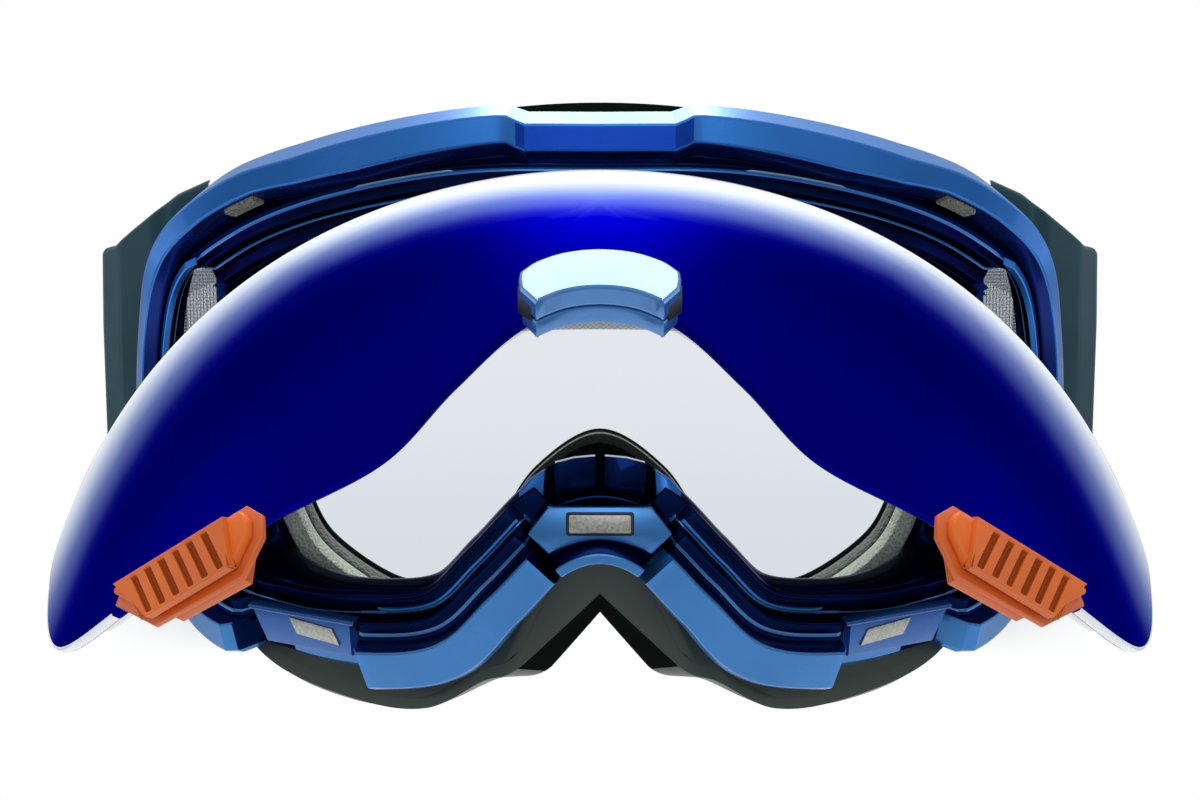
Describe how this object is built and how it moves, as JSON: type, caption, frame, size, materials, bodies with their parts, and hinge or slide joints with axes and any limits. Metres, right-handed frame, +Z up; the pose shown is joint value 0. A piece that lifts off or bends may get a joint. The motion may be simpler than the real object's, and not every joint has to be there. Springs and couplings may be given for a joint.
{
  "type": "ski goggles",
  "caption": "Ski goggles: blue framed mask with layered face foam, side vents and outriggers, elastic head strap, and a mirrored double lens that swings open about its top edge.",
  "frame": {"origin": "middle of the face side of the foam, on the plane of symmetry", "axes": "+X to the wearer's left, +Y from the goggles towards the face and the back of the strap, +Z up"},
  "size_m": [0.2002, 0.3313, 0.1072],
  "materials": {
    "frame_blue": "glossy metallic-blue moulded plastic",
    "chassis_dark": "satin dark green-grey soft-touch plastic",
    "shell_navy": "high-gloss navy plastic",
    "magnet": "speckled nickel-coated magnet",
    "vent_mesh": "fine woven wire mesh",
    "vent_foam": "open-cell speckled foam",
    "foam_firm": "firm closed-cell foam",
    "foam_soft": "soft open-cell foam",
    "fleece": "brushed fleece",
    "outrigger_dark": "satin dark green-grey plastic",
    "pin_steel": "turned steel",
    "webbing": "woven elastic webbing",
    "buckle_black": "satin black plastic",
    "lens_mirror": "deep-blue mirror coating on polycarbonate",
    "gasket": "black closed-cell gasket",
    "lens_clear": "clear anti-fog pane",
    "clip_blue": "glossy blue plastic",
    "tab_orange": "satin orange rubberised plastic"
  },
  "bodies": {
    "frame": {"front_frame": "frame_blue", "back_frame": "chassis_dark", "inner_shell": "shell_navy", "nose_plate": "frame_blue", "nose_magnet": "magnet", "tab_pad_left": "frame_blue", "tab_pad_right": "frame_blue", "pad_magnet_left": "magnet", "pad_magnet_right": "magnet", "vent_mesh_left": "vent_mesh", "vent_mesh_right": "vent_mesh", "top_vent_foam": "vent_foam", "bottom_vent_foam_left": "vent_foam", "bottom_vent_foam_right": "vent_foam", "foam_base": "foam_firm", "foam_mid": "foam_soft", "face_fleece": "fleece", "side_bracket_left": "chassis_dark", "side_bracket_right": "chassis_dark", "hinge_pin_left": "pin_steel", "hinge_pin_right": "pin_steel", "strap": "webbing"},
    "lens": {"lens_outer": "lens_mirror", "lens_spacer": "gasket", "lens_inner": "lens_clear", "nose_clip_front": "clip_blue", "nose_clip_back": "clip_blue", "clip_magnet": "magnet", "grip_tab_left": "tab_orange", "grip_tab_right": "tab_orange", "tab_back_left": "tab_orange", "tab_back_right": "tab_orange", "tab_magnet_left": "magnet", "tab_magnet_right": "magnet"},
    "outrigger_left": {"outrigger_left": "outrigger_dark", "strap_end_left": "webbing"},
    "slider_left": {"slider_left": "buckle_black"},
    "outrigger_right": {"outrigger_right": "outrigger_dark", "strap_end_right": "webbing"},
    "slider_right": {"slider_right": "buckle_black"}
  },
  "joints": [
    {"name": "lens_swing", "type": "hinge", "parent": "frame", "child": "lens", "pos_m": [0, -0.0463, 0.0407], "axis": [-1, 0, 0], "range_deg": [-64, 12]},
    {"name": "outrigger_swing_left", "type": "hinge", "parent": "frame", "child": "outrigger_left", "pos_m": [0.0845, 0.017, 0], "axis": [0, 0, -1], "range_deg": [-5, 6]},
    {"name": "outrigger_swing_right", "type": "hinge", "parent": "frame", "child": "outrigger_right", "pos_m": [-0.0845, 0.017, 0], "axis": [0, 0, 1], "range_deg": [-5, 6]},
    {"name": "slider_slide_left", "type": "slide", "parent": "outrigger_left", "child": "slider_left", "axis": [0, 1, 0], "range_m": [-0.004, 0.012]},
    {"name": "slider_slide_right", "type": "slide", "parent": "outrigger_right", "child": "slider_right", "axis": [0, 1, 0], "range_m": [-0.004, 0.012]}
  ]
}
